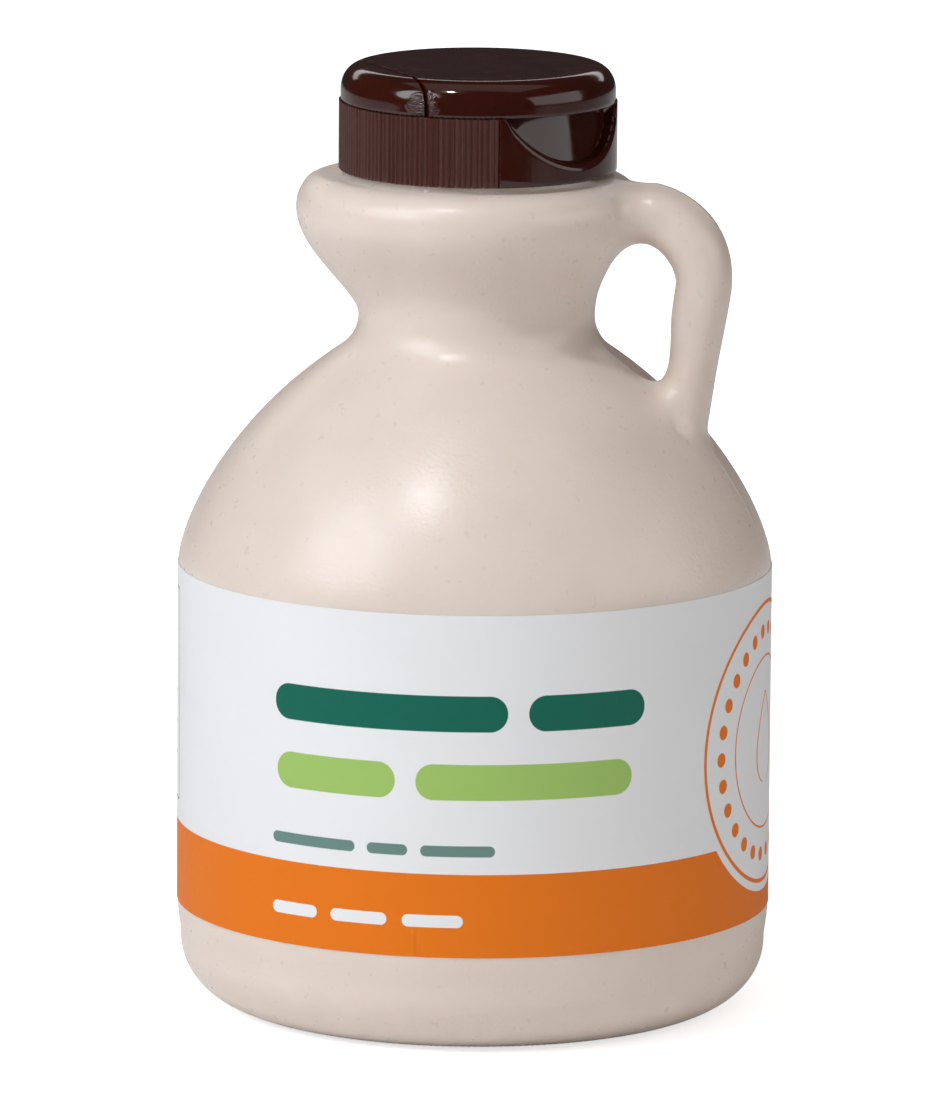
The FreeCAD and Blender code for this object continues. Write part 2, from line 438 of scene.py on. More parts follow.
@dataclass(frozen=True)
class GlossPlastic:
    """The cap's deep brown gloss plastic, with the torn hinge beside its split and a painted sheen on the ribs."""

    colour: Colour = (0.034, 0.0055, 0.0028)
    roughness: float = 0.10
    # Lighter colour for the ribbed zone: a painted sheen that stands in for the small highlights the rib tops catch.
    rib_painted_sheen: Colour = (0.056, 0.0120, 0.0070)
    rib_roughness: float = 0.36
    plain_first: float = 20.0
    plain_last: float = 101.0
    skirt_top: float = 132.2
    scar: Point3 = (-4.3, -19.3, 134.0)
    scar_size: float = 2.9

    def material(self) -> bpy.types.Material:
        """The node material."""
        make = Workings("deep brown gloss plastic")
        x, y, z = make.axes()
        off = make.length(
            make.length(make.math("SUBTRACT", x, self.scar[0]), make.math("SUBTRACT", y, self.scar[1])),
            make.math("MULTIPLY", make.math("SUBTRACT", z, self.scar[2]), 1.5),
        )
        scar = make.within(off, self.scar_size * 0.7, self.scar_size * 0.3)
        wrinkle = make.noise(1.1, 3.0, (1, 1, 3.2))
        wave = make.noise(6.0, 1.0)
        normal = make.bump(wave, 0.03)
        normal = make.bump(make.both(scar, wrinkle), 0.4, normal)
        cloud = make.noise(9.0, 2.0)
        colour = make.mix(make.span(cloud, 0.3, 0.7, 0.0, 1.0), self.colour, tuple(0.86 * c for c in self.colour))
        azimuth = make.math("ARCTAN2", x, make.math("MULTIPLY", y, -1.0))
        middle = math.radians((self.plain_first + self.plain_last) / 2)
        half = math.radians((self.plain_last - self.plain_first) / 2)
        beside = make.math("ABSOLUTE", make.math("SUBTRACT", azimuth, middle))
        ribbed = make.math("SUBTRACT", 1.0, make.within(beside, half, 0.01))
        ribbed = make.both(ribbed, make.within(z, self.skirt_top, 0.05))
        # Painted sheen: the ribbed zone gets the lighter colour in place of the highlights its rib tops would catch.
        colour = make.mix(ribbed, colour, self.rib_painted_sheen)
        roughness = make.span(make.noise(2.0, 4.0), 0.3, 0.7, self.roughness - 0.03, self.roughness + 0.05)
        roughness = make.math("ADD", roughness, make.math("MULTIPLY", ribbed, self.rib_roughness - self.roughness))
        return make.finish(colour, roughness, normal, IOR=1.5)


@dataclass(frozen=True)
class PrintedFilm:
    """The wrap label: white film with plain bars, a band and a ringed seal."""

    radius: float = 43.12
    white: Colour = (0.768, 0.766, 0.773)
    orange: Colour = (0.740, 0.168, 0.004)
    pine: Colour = (0.002, 0.118, 0.078)
    leaf: Colour = (0.320, 0.500, 0.125)
    slate: Colour = (0.130, 0.230, 0.200)
    band_top: float = 27.25
    seal_azimuth: float = 88.5
    seal_height: float = 40.3
    seal_radius: float = 20.4
    seal_inner: float = 12.55
    seal_halo: float = 21.9
    seal_beads: int = 26
    roughness: float = 0.56
    heading: tuple[Point2, ...] = ((-29.9, 17.5), (21.5, 45.3))
    heading_height: Point2 = (47.9, 53.1)
    second: tuple[Point2, ...] = ((-29.4, -4.0), (0.0, 42.5))
    second_height: Point2 = (38.0, 43.2)
    small: tuple[Point2, ...] = ((-30.4, -12.0), (-9.5, -1.5), (1.0, 15.2))
    small_height: Point2 = (29.8, 31.4)
    amount: tuple[Point2, ...] = ((-30.4, -20.0), (-17.0, -5.5), (-2.5, 9.2))
    amount_height: Point2 = (19.5, 21.3)
    panel: Point2 = (-150.0, -70.2)
    panel_height: Point2 = (30.2, 61.6)
    crease_azimuth: float = -0.2
    crease_top: float = 21.0

    def arc(self, azimuth: float) -> float:
        """Distance round the label of an azimuth in degrees."""
        return math.radians(azimuth) * self.radius

    def bars(self, make: Workings, across: Socket, up: Socket, spans: tuple[Point2, ...], heights: Point2) -> Socket:
        """A row of bars.

        Args:
            make: The material's workings.
            across: Distance round the label.
            up: Height.
            spans: First and last azimuth of each bar.
            heights: Lowest and highest point of the row.

        Returns:
            1 on the bars.
        """
        half_height = (heights[1] - heights[0]) / 2
        total: Optional[Socket] = None
        for first, last in spans:
            middle = (self.arc((first + last) / 2), sum(heights) / 2)
            half = (self.arc((last - first) / 2), half_height)
            bar = make.bar(across, up, middle, half, half_height * 0.98)
            total = bar if total is None else make.either(total, bar)
        return total

    def seal(self, make: Workings, across: Socket, up: Socket) -> tuple[Socket, Socket]:
        """The ringed seal: where it is printed, and the white halo round it."""
        u = make.math("SUBTRACT", across, self.arc(self.seal_azimuth))
        v = make.math("SUBTRACT", up, self.seal_height)
        out = make.length(u, v)
        rings = make.either(make.line(out, self.seal_radius, 0.6), make.line(out, self.seal_inner, 0.3))
        bead_ring = (self.seal_radius + self.seal_inner) / 2
        turn = make.math("MULTIPLY", make.math("ARCTAN2", u, v), self.seal_beads / math.tau)
        local = make.math("SUBTRACT", make.math("FRACT", make.math("ADD", turn, 20.0)), 0.5)
        local = make.math("MULTIPLY", local, math.tau / self.seal_beads * bead_ring)
        bead = make.within(make.length(local, make.math("SUBTRACT", out, bead_ring)), 1.05)
        rise = make.span(v, -6.0, 7.5, 0.0, 1.0)
        drop = make.math("MULTIPLY", make.math("SQRT", rise), make.math("SUBTRACT", 1.0, rise))
        drop = make.math("MULTIPLY", drop, 11.5)
        rim = make.line(make.math("SUBTRACT", make.math("ABSOLUTE", u), drop), 0.0, 0.45)
        tall = make.both(make.within(v, 7.4), make.within(make.math("MULTIPLY", v, -1.0), 5.9))
        print_ = make.either(make.either(rings, bead), make.both(rim, tall))
        return print_, make.within(out, self.seal_halo)

    def info_panel(self, make: Workings, across: Socket, up: Socket) -> Socket:
        """A thin outlined panel with plain rules in it."""
        middle = (self.arc(sum(self.panel) / 2), sum(self.panel_height) / 2)
        half = (self.arc((self.panel[1] - self.panel[0]) / 2), (self.panel_height[1] - self.panel_height[0]) / 2)
        outer = make.bar(across, up, middle, half, 0.8)
        inner = make.bar(across, up, middle, (half[0] - 0.3, half[1] - 0.3), 0.6)
        outline = make.math("SUBTRACT", outer, inner)
        step = make.math("FRACT", make.math("DIVIDE", make.math("SUBTRACT", up, self.panel_height[0]), 4.48))
        rules = make.line(step, 0.5, 0.06, 0.01)
        field_ = make.bar(across, up, middle, (half[0] - 3.0, half[1] - 2.6), 0.1)
        return make.either(outline, make.both(rules, field_))

    def material(self) -> bpy.types.Material:
        """The node material."""
        make = Workings("printed white film")
        x, y, z = make.axes()
        azimuth = make.math("ARCTAN2", x, make.math("MULTIPLY", y, -1.0))
        across = make.math("MULTIPLY", azimuth, self.radius)
        seal, halo = self.seal(make, across, z)
        band = make.both(make.within(z, self.band_top), make.math("SUBTRACT", 1.0, halo))
        tone = make.span(make.noise(18.0, 2.0), 0.35, 0.65, 0.0, 1.0)
        film = make.mix(tone, self.white, tuple(0.985 * part for part in self.white))
        colour = make.mix(band, film, self.orange)
        rows = (
            (self.heading, self.heading_height, self.pine),
            (self.second, self.second_height, self.leaf),
            (self.small, self.small_height, self.slate),
            (self.amount, self.amount_height, self.white),
        )
        for spans, heights, ink in rows:
            colour = make.mix(self.bars(make, across, z, spans, heights), colour, ink)
        colour = make.mix(self.info_panel(make, across, z), colour, self.slate)
        colour = make.mix(seal, colour, self.orange)
        wave = make.noise(7.0, 2.0, (1, 1, 0.5))
        fibre = make.noise(0.35, 3.0)
        crease = make.line(across, self.arc(self.crease_azimuth), 0.5, 0.25)
        crease = make.both(crease, make.span(z, self.crease_top - 3.0, self.crease_top, 1.0, 0.0))
        normal = make.bump(wave, 0.10)
        normal = make.bump(fibre, 0.004, normal)
        normal = make.bump(crease, 0.12, normal)
        roughness = make.span(make.noise(1.0, 3.0), 0.3, 0.7, self.roughness - 0.04, self.roughness + 0.05)
        return make.finish(colour, roughness, normal, IOR=1.45, Specular_IOR_Level=0.25)


# --------------------------------------------------------------------------
# The jug
# --------------------------------------------------------------------------


@dataclass
class Jug:
    """The moulded jug: turned body, pouring lip and side handle in one skin."""

    radius: float = 43.0
    base_radius: float = 32.1
    heel_radius: float = 42.5
    heel_rise: float = 9.3
    heel_ease: float = 14.6
    push_up: float = 1.6
    ring_inside: float = 27.0
    joint: float = 61.0
    panel_top: float = 64.8
    waist_radius: float = 17.1
    waist_height: float = 101.0
    waist_fillet: float = 6.1
    shoulder_slope: float = 55.7
    ease_wall: float = 3.7
    ease_waist: float = 22.0
    head_radius: float = 23.6
    head_flank: float = 117.1
    head_edge: float = 4.2
    head_top: float = 121.3
    neck_radius: float = 19.0
    neck_top: float = 122.6
    lip_reach: float = 26.3
    lip_top_reach: float = 22.7
    lip_flank: float = 116.4
    lip_spread: float = 80.0
    handle_start: Point2 = (12.0, 118.5)
    handle_bend_start: Point2 = (24.86, 116.7)
    handle_bend: float = 9.8
    handle_dip: float = 8.0
    handle_lean: float = 8.5
    handle_foot: float = 74.0
    handle_top_thickness: float = 8.7
    handle_side_thickness: float = 8.0
    handle_foot_thickness: float = 7.4
    handle_width_ratio: float = 1.22
    voxel: float = 0.60
    columns: int = 720
    heel_ticks: int = 240
    finish: MouldedPlastic = field(default_factory=MouldedPlastic)

    def lower_outline(self) -> list[Point2]:
        """Outline from under the base to the joint behind the label."""
        points = [(0.4, self.push_up), (12.0, self.push_up), (self.ring_inside - 3.0, self.push_up)]
        points += bezier(
            (self.ring_inside - 2.0, self.push_up),
            (self.ring_inside - 0.8, self.push_up),
            (self.ring_inside - 0.6, 0.0),
            (self.ring_inside + 0.8, 0.0),
            6,
        )
        points += [(self.ring_inside + 2.5, 0.0), (self.base_radius - 1.4, 0.0)]
        points += quarter(
            (self.base_radius, self.heel_rise), self.heel_radius - self.base_radius, self.heel_rise, -90, 0, 22
        )
        points += bezier(
            (self.heel_radius, self.heel_rise),
            (self.heel_radius, self.heel_rise + 1.8),
            (self.radius, self.heel_ease - 2.0),
            (self.radius, self.heel_ease),
            6,
        )[1:]
        steps = 12
        for step in range(1, steps + 1):
            points.append((self.radius, self.heel_ease + (self.joint - self.heel_ease) * step / steps))
        return points

    def shoulder_outline(self) -> list[Point2]:
        """Outline from the wall over the shoulder to the waist."""
        angle = math.radians(self.shoulder_slope)
        top = (
            self.waist_radius + self.waist_fillet * (1 - math.cos(angle)),
            self.waist_height - self.waist_fillet * math.sin(angle),
        )
        lead = (
            top[0] + math.sin(angle) * self.ease_waist,
            top[1] - math.cos(angle) * self.ease_waist,
        )
        points = [(self.radius, self.joint - 3.0), (self.radius, self.joint), (self.radius, self.joint + 2.0)]
        points += bezier(
            (self.radius, self.panel_top), (self.radius, self.panel_top + self.ease_wall), lead, top, 60
        )
        centre = (self.waist_radius + self.waist_fillet, self.waist_height)
        points += quarter(
            centre, self.waist_fillet, self.waist_fillet, 180 + self.shoulder_slope, 180, 16
        )[1:]
        return points

    def head_outline(self) -> list[Point2]:
        """Outline of the round head, from the waist to the neck."""
        points = bezier(
            (self.waist_radius, self.waist_height),
            (self.waist_radius, self.waist_height + 7.5),
            (self.head_radius, self.head_flank - 5.0),
            (self.head_radius, self.head_flank),
            30,
        )[1:]
        points += quarter(
            (self.head_radius - self.head_edge, self.head_flank), self.head_edge, self.head_edge, 0, 90, 14
        )[1:]
        return points

    def lip_outline(self) -> list[Point2]:
        """Outline of the pouring lip, with as many points as the head's."""
        points = bezier(
            (self.waist_radius, self.waist_height),
            (self.waist_radius, self.waist_height + 3.0),
            (self.lip_reach, self.lip_flank - 6.4),
            (self.lip_reach, self.lip_flank),
            30,
        )[1:]
        points += quarter(
            (self.lip_top_reach, self.lip_flank),
            self.lip_reach - self.lip_top_reach,
            self.head_top - self.lip_flank,
            0,
            90,
            14,
        )[1:]
        return points

    def neck_outline(self) -> list[Point2]:
        """Outline from the head's flat top up the neck, with a small root fillet."""
        root = 0.35
        points = quarter((self.neck_radius + root, self.head_top + root), root, root, 270, 180, 4)
        return points + [(self.neck_radius, self.neck_top)]

    def upper_shell(self) -> bpy.types.Object:
        """Shoulder, waist and head with the lip drawn out to one side."""
        shoulder, head, lip, neck = (
            self.shoulder_outline(),
            self.head_outline(),
            self.lip_outline(),
            self.neck_outline(),
        )
        rows = len(shoulder) + len(head) + len(neck)

        def shape(row: int, column: int) -> Point3:
            angle = math.tau * column / self.columns
            off = abs(math.degrees((angle + math.pi / 2 + math.pi) % math.tau - math.pi))
            share = 0.5 + 0.5 * math.cos(math.pi * min(1.0, off / self.lip_spread))
            if row < len(shoulder):
                radius, height = shoulder[row]
            elif row < len(shoulder) + len(head):
                index = row - len(shoulder)
                radius, height = blend_lists([head[index]], [lip[index]], share)[0]
            else:
                radius, height = neck[row - len(shoulder) - len(head)]
            return (radius * math.sin(angle), -radius * math.cos(angle), height)

        shell = ring_shell("upper shell", self.columns, rows, shape)
        close_ends(shell)
        return shell

    def handle_stations(self) -> list[tuple[float, float, float, float]]:
        """Centre, heading in degrees and thickness of each ring of the handle."""
        start, bend = self.handle_start, self.handle_bend_start
        stations = []
        for step in range(8):
            share = step / 8
            stations.append(
                (
                    start[0] + (bend[0] - start[0]) * share,
                    start[1] + (bend[1] - start[1]) * share,
                    self.handle_dip,
                    self.handle_top_thickness,
                )
            )
        dip = math.radians(self.handle_dip)
        centre = (bend[0] - self.handle_bend * math.sin(dip), bend[1] - self.handle_bend * math.cos(dip))
        last = 90 + self.handle_lean
        turns = 28
        for step in range(turns + 1):
            heading = self.handle_dip + (last - self.handle_dip) * step / turns
            angle = math.radians(heading)
            share = eased((heading - 45) / 50)
            stations.append(
                (
                    centre[0] + self.handle_bend * math.sin(angle),
                    centre[1] + self.handle_bend * math.cos(angle),
                    heading,
                    self.handle_top_thickness + (self.handle_side_thickness - self.handle_top_thickness) * share,
                )
            )
        x, z, heading, _ = stations[-1]
        angle = math.radians(heading)
        length = (z - self.handle_foot) / math.sin(angle)
        for step in range(1, 25):
            share = step / 24
            stations.append(
                (
                    x + math.cos(angle) * length * share,
                    z - math.sin(angle) * length * share,
                    heading,
                    self.handle_side_thickness
                    + (self.handle_foot_thickness - self.handle_side_thickness) * eased(share * 2.5),
                )
            )
        return stations

    def handle_shell(self) -> bpy.types.Object:
        """The handle as a closed oval tube, both ends inside the body."""
        stations = self.handle_stations()
        sides = 96

        def shape(row: int, column: int) -> Point3:
            x, z, heading, thickness = stations[row]
            angle = math.tau * column / sides
            squareness = 0.88
            out = math.copysign(abs(math.cos(angle)) ** squareness, math.cos(angle)) * thickness / 2
            side = math.copysign(abs(math.sin(angle)) ** squareness, math.sin(angle)) * thickness / 2
            turn = math.radians(heading)
            return (
                x + out * math.sin(turn),
                side * self.handle_width_ratio,
                z + out * math.cos(turn),
            )

        shell = ring_shell("handle shell", sides, len(stations), shape)
        close_ends(shell)
        return shell

    def root_weights(self, skin: bpy.types.Object, body: bpy.types.Object, handle: bpy.types.Object) -> None:
        """Marks how far the skin is softened near the handle's roots.

        Args:
            skin: The one-piece skin; gets the groups "soften" and "hold".
            body: The turned shell.
            handle: The handle shell.
        """
        trees = []
        for piece in (body, handle):
            mesh = bmesh.new()
            mesh.from_mesh(piece.data)
            trees.append(BVHTree.FromBMesh(mesh))
            mesh.free()
        soften = skin.vertex_groups.new(name="soften")
        hold = skin.vertex_groups.new(name="hold")
        for vertex in skin.data.vertices:
            place = vertex.co
            weight = 0.0
            if place.x > 0.010 and abs(place.y) < 0.020:
                near = max(trees[0].find_nearest(place)[3], trees[1].find_nearest(place)[3]) / MM
                x, z = place.x / MM, place.z / MM
                outside = z < 100 and x > self.handle_line(z)
                reach = 1.6 if outside else (2.8 if z > 117.3 else (9.0 if z < 104 else 6.0))
                weight = eased(1.2 - near / reach)
            soften.add([vertex.index], weight, "REPLACE")
            hold.add([vertex.index], 1.0 - eased(weight * 2.5), "REPLACE")

    def handle_line(self, height: float) -> float:
        """Where the handle's straight centre line is at a height."""
        x, z, heading, _ = self.handle_stations()[-1]
        return x + (height - z) / math.tan(math.radians(180 - heading))

    def skin(self) -> bpy.types.Object:
        """Body and handle grown into one skin with soft roots."""
        body, handle = self.upper_shell(), self.handle_shell()
        skin = join([copy_of(body, "body copy"), copy_of(handle, "handle copy")], "jug skin")
        exact = join([copy_of(body, "body copy"), copy_of(handle, "handle copy")], "exact skin")
        apply_modifier(skin, "REMESH", mode="VOXEL", voxel_size=self.voxel * MM, adaptivity=0.0)
        self.root_weights(skin, body, handle)
        apply_modifier(
            skin, "SHRINKWRAP", target=exact, wrap_method="NEAREST_SURFACEPOINT", vertex_group="hold"
        )
        apply_modifier(skin, "SMOOTH", factor=0.5, iterations=350, vertex_group="soften")
        throw_away([body, handle, exact])
        self.cut_below(skin, self.joint)
        return skin

    def cut_below(self, piece: bpy.types.Object, height: float) -> None:
        """Cuts away what is under a height and leaves the ring open."""
        take_up(piece)
        bpy.ops.object.mode_set(mode="EDIT")
        bpy.ops.mesh.select_all(action="SELECT")
        bpy.ops.mesh.bisect(
            plane_co=(0, 0, height * MM), plane_no=(0, 0, 1), use_fill=False, clear_inner=True
        )
        bpy.ops.object.mode_set(mode="OBJECT")

    def lower_shell(self) -> bpy.types.Object:
        """Wall, heel and base, closed under the base and open at the joint."""
        outline = self.lower_outline()
        columns = self.heel_ticks * 2

        def shape(row: int, column: int) -> Point3:
            radius, height = outline[row]
            angle = math.tau * column / columns
            notch = 0.0
            if column % 2 and height < 0.5 and radius > self.ring_inside + 1.5:
                notch = 0.28
            return (radius * math.sin(angle), -radius * math.cos(angle), height + notch)

        shell = ring_shell("lower shell", columns, len(outline), shape)
        take_up(shell)
        bpy.ops.object.mode_set(mode="EDIT")
        bpy.ops.mesh.select_mode(type="VERT")
        bpy.ops.mesh.select_all(action="DESELECT")
        bpy.ops.object.mode_set(mode="OBJECT")
        for vertex in shell.data.vertices:
            vertex.select = vertex.co.xy.length < 0.001
        bpy.ops.object.mode_set(mode="EDIT")
        bpy.ops.mesh.merge(type="CENTER")
        bpy.ops.object.mode_set(mode="OBJECT")
        return shell

    def bridge_joint(self, piece: bpy.types.Object) -> None:
        """Bridges the two open rings at the joint."""
        take_up(piece)
        bpy.ops.object.mode_set(mode="EDIT")
        bpy.ops.mesh.select_mode(type="EDGE")
        bpy.ops.mesh.select_all(action="DESELECT")
        bpy.ops.mesh.select_non_manifold(extend=False, use_wire=False, use_boundary=True, use_multi_face=False, use_non_contiguous=False, use_verts=False)
        bpy.ops.mesh.bridge_edge_loops()
        bpy.ops.mesh.select_all(action="SELECT")
        bpy.ops.mesh.normals_make_consistent(inside=False)
        bpy.ops.object.mode_set(mode="OBJECT")

    def raise_parting_line(self, piece: bpy.types.Object) -> None:
        """Raises the low ridge that the two mould halves leave at y = 0."""
        height, spread = 0.07, 0.55
        normals = [vertex.normal.copy() for vertex in piece.data.vertices]
        for vertex, normal in zip(piece.data.vertices, normals):
            place = vertex.co / MM
            if place.z < 18 or place.z > 121:
                continue
            lift = height * math.exp(-((place.y / spread) ** 2))
            if lift > 0.001:
                vertex.co += normal * lift * MM

    def build(self) -> bpy.types.Object:
        skin = self.skin()
        lower = self.lower_shell()
        piece = join([skin, lower], "jug_body")
        self.bridge_joint(piece)
        self.raise_parting_line(piece)
        piece.vertex_groups.clear()
        smooth_shade(piece, 50)
        piece.data.materials.clear()
        piece.data.materials.append(self.finish.material())
        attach(piece, BODY)
        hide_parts("jug")
        return piece


# --------------------------------------------------------------------------
# The label
# --------------------------------------------------------------------------


@dataclass
class WrapLabel:
    """The film sleeve round the wall, lapped at the back."""

    radius: float = 43.12
    thickness: float = 0.09
    foot: float = 15.15
    top: float = 64.7
    lap_azimuth: float = 135.0
    lap: float = 7.0
    columns: int = 734
    rows: int = 30
    crease_depth: float = 0.05
    finish: PrintedFilm = field(default_factory=PrintedFilm)

    def place(self, share: float, rise: float) -> Point3:
        """Where a point of the flat film lies once wrapped.

        Args:
            share: Place along the film, 0 to 1.
            rise: Place up the film, 0 to 1.

        Returns:
            The point in millimetres.
        """
        azimuth = self.lap_azimuth + share * (360 + self.lap)
        over = eased((azimuth - self.lap_azimuth - 360 + 2.5) / 2.5)
        height = self.foot + (self.top - self.foot) * rise
        radius = self.radius + over * (self.thickness + 0.015)
        off = ((azimuth + 180) % 360 - 180 - self.finish.crease_azimuth) * math.radians(self.radius)
        dent = math.exp(-((off / 0.55) ** 2)) * eased((self.finish.crease_top - height) / 4.0)
        radius -= self.crease_depth * dent
        angle = math.radians(azimuth)
        return (radius * math.sin(angle), -radius * math.cos(angle), height)

    def build(self) -> bpy.types.Object:
        put_down()
        bpy.ops.mesh.primitive_grid_add(
            x_subdivisions=self.columns, y_subdivisions=self.rows, size=1.0, location=(0, 0, 0)
        )
        piece = seat(bpy.context.object, "wrap_label")
        for vertex in piece.data.vertices:
            vertex.co = Vector(self.place(vertex.co.x + 0.5, vertex.co.y + 0.5)) * MM
        apply_modifier(piece, "SOLIDIFY", thickness=self.thickness * MM, offset=-1.0)
        take_up(piece)
        bpy.ops.object.mode_set(mode="EDIT")
        bpy.ops.mesh.select_all(action="SELECT")
        bpy.ops.mesh.normals_make_consistent(inside=False)
        bpy.ops.object.mode_set(mode="OBJECT")
        smooth_shade(piece, 40)
        piece.data.materials.append(self.finish.material())
        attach(piece, BODY)
        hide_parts("label")
        return piece


# --------------------------------------------------------------------------
# The cap
# --------------------------------------------------------------------------


@dataclass
class FlipCap:
    """The ribbed skirt with its thumb recess, the hinge segment and the lid."""

    radius: float = 20.1
    foot: float = 122.3
    skirt_top: float = 132.3
    rib_pitch: float = 0.8
    rib_depth: float = 0.27
    plain_first: float = 20.0
    plain_last: float = 101.0
    recess_azimuth: float = 60.0
    recess_half: float = 12.3
    recess_drop: float = 7.4
    recess_depth: float = 1.9
    recess_lean: float = 1.1
    lid_setback: float = 0.25
    lid_height: float = 5.1
    lid_edge: float = 3.0
    lid_edge_rise: float = 3.5
    split_azimuth: float = -55.0
    split_offset: float = 14.2
    split_gap: float = 0.5
    finish: GlossPlastic = field(default_factory=GlossPlastic)

    def skirt_columns(self) -> list[tuple[float, float]]:
        """Azimuth of each column of the skirt, and 1 where it lies in a groove."""
        columns = []
        step = math.degrees(0.36 / self.radius)
        count = round((self.plain_last - self.plain_first) / step)
        for index in range(count):
            columns.append((self.plain_first + (self.plain_last - self.plain_first) * index / count, 0.0))
        ribbed = 360 - (self.plain_last - self.plain_first)
        ribs = round(math.radians(ribbed) * self.radius / self.rib_pitch)
        parts = 8
        for rib in range(ribs):
            for part in range(parts):
                share = (part + 0.5) / parts
                groove = (0.5 + 0.5 * math.cos(math.tau * share)) ** 1.4
                columns.append((self.plain_last + ribbed * (rib + share) / ribs, groove))
        return columns

    def recess_edge(self, azimuth: float) -> float:
        """Height of the recess's smile-shaped edge at an azimuth; the skirt's top beyond it."""
        side = self.radius * math.sin(math.radians(azimuth - self.recess_azimuth))
        if abs(azimuth - self.recess_azimuth) > 80 or abs(side) >= self.recess_half:
            return self.skirt_top
        arc = (self.recess_half**2 + self.recess_drop**2) / (2 * self.recess_drop)
        middle = self.skirt_top - self.recess_drop + arc
        return min(self.skirt_top, middle - math.sqrt(arc * arc - side * side))

    def skirt(self) -> bpy.types.Object:
        """The skirt, ribbed round three quarters and scooped for the thumb."""
        columns = self.skirt_columns()
        wall = ((0.0, 0.22), (0.06, 0.06), (0.22, 0.0))
        below, roll, ledge, bend, inside = 8, 8, 2, 5, 6
        rows = 1 + len(wall) + below + roll + ledge + bend + inside

        def shape(row: int, column: int) -> Point3:
            azimuth, groove = columns[column]
            edge = self.recess_edge(azimuth)
            room = self.skirt_top - edge
            size = min(1.0, room / 1.6)
            rise, lip, depth, fillet = 0.95 * size, 0.75 * size, self.recess_depth * size, 0.4 * size
            step = row - len(wall)
            inset = 0.0
            if row == 0:
                height, inset = self.foot, 1.2
            elif step <= 0:
                lift, inset = wall[row - 1]
                height = self.foot + lift
            elif step <= below:
                start = self.foot + wall[-1][0]
                height = start + (edge - rise - start) * step / below
            elif step <= below + roll:
                turn = (step - below) / roll * math.pi / 2
                height = edge - rise + rise * math.sin(turn)
                inset = lip * (1 - math.cos(turn))
            elif step <= below + roll + ledge:
                share = (step - below - roll) / ledge
                height = edge + 0.12 * size * share
                inset = lip + (depth - fillet - lip) * share
            elif step <= below + roll + ledge + bend:
                turn = (step - below - roll - ledge) / bend * math.pi / 2
                height = edge + 0.12 * size + fillet * (1 - math.cos(turn))
                inset = depth - fillet + fillet * math.sin(turn)
            else:
                share = (step - below - roll - ledge - bend) / inside
                start = edge + 0.12 * size + fillet
                height = start + (self.skirt_top - start) * share
                inset = depth + self.recess_lean * share * size
            inset += groove * self.rib_depth * (1.0 if height > self.foot + 0.1 else 0.4)
            radius = self.radius - inset
            angle = math.radians(azimuth)
            return (radius * math.sin(angle), -radius * math.cos(angle), height)

        shell = ring_shell("cap skirt", len(columns), rows, shape)
        close_ends(shell)
        return shell

    def lid_blank(self, name: str) -> bpy.types.Object:
        """The whole turned lid before it is split."""
        radius = self.radius - self.lid_setback
        top = self.skirt_top + self.lid_height
        foot = self.skirt_top - 0.02
        points = [(radius - 0.9, foot), (radius - 0.12, foot), (radius, foot + 0.14)]
        side = top - self.lid_edge_rise - foot - 0.14
        points += [(radius, foot + 0.14 + side * step / 4) for step in range(1, 5)]
        points += quarter(
            (radius - self.lid_edge, top - self.lid_edge_rise), self.lid_edge, self.lid_edge_rise, 0, 84, 18
        )[1:]
        rim = radius - self.lid_edge + 0.15
        points += [(rim - 0.25, top - 0.005), (rim - 0.7, top), (rim - 2.0, top), (rim * 0.5, top), (0.6, top)]
        return lathe(name, points, 192)

    def split(self, piece: bpy.types.Object, keep_front: bool) -> None:
        """Cuts the lid at the straight split and rounds the cut's edges.

        Args:
            piece: The lid blank.
            keep_front: Keeps the lid if true, the hinge segment if false.
        """
        angle = math.radians(self.split_azimuth)
        normal = Vector((math.sin(angle), -math.cos(angle), 0))
        half = self.split_gap / 2
        offset = self.split_offset + (-half if keep_front else half)
        take_up(piece)
        bpy.ops.object.mode_set(mode="EDIT")
        bpy.ops.mesh.select_all(action="SELECT")
        bpy.ops.mesh.bisect(
            plane_co=normal * offset * MM,
            plane_no=normal,
            use_fill=True,
            clear_outer=keep_front,
            clear_inner=not keep_front,
        )
        bpy.ops.object.mode_set(mode="OBJECT")
        mesh = bmesh.new()
        mesh.from_mesh(piece.data)
        edges = []
        for edge in mesh.edges:
            on_cut = all(abs(vertex.co.dot(normal) - offset * MM) < 1e-6 for vertex in edge.verts)
            if on_cut and min(vertex.co.z for vertex in edge.verts) > (self.skirt_top + 0.5) * MM:
                edges.append(edge)
        bmesh.ops.bevel(mesh, geom=edges, offset=0.16 * MM, segments=3, profile=0.5, affect="EDGES", clamp_overlap=True)
        mesh.to_mesh(piece.data)
        mesh.free()

    def dress(self, piece: bpy.types.Object, *nodes: str) -> bpy.types.Object:
        """Shades and dresses one piece of the cap, hangs it on the body and hides the imported parts it stands for."""
        take_up(piece)
        bpy.ops.object.mode_set(mode="EDIT")
        bpy.ops.mesh.select_all(action="SELECT")
        bpy.ops.mesh.normals_make_consistent(inside=False)
        bpy.ops.object.mode_set(mode="OBJECT")
        smooth_shade(piece, 55)
        piece.data.materials.clear()
        piece.data.materials.append(self.material)
        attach(piece, BODY)
        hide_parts(*nodes)
        return piece

    def build(self) -> list[bpy.types.Object]:
        self.material = self.finish.material()
        segment = self.lid_blank("hinge segment")
        self.split(segment, keep_front=False)
        base = join([self.skirt(), segment], "cap_base_ribbed")
        lid = self.lid_blank("cap_lid_front")
        self.split(lid, keep_front=True)
        return [self.dress(base, "cap_base"), self.dress(lid, "cap_lid")]


# --------------------------------------------------------------------------
# The studio
# --------------------------------------------------------------------------


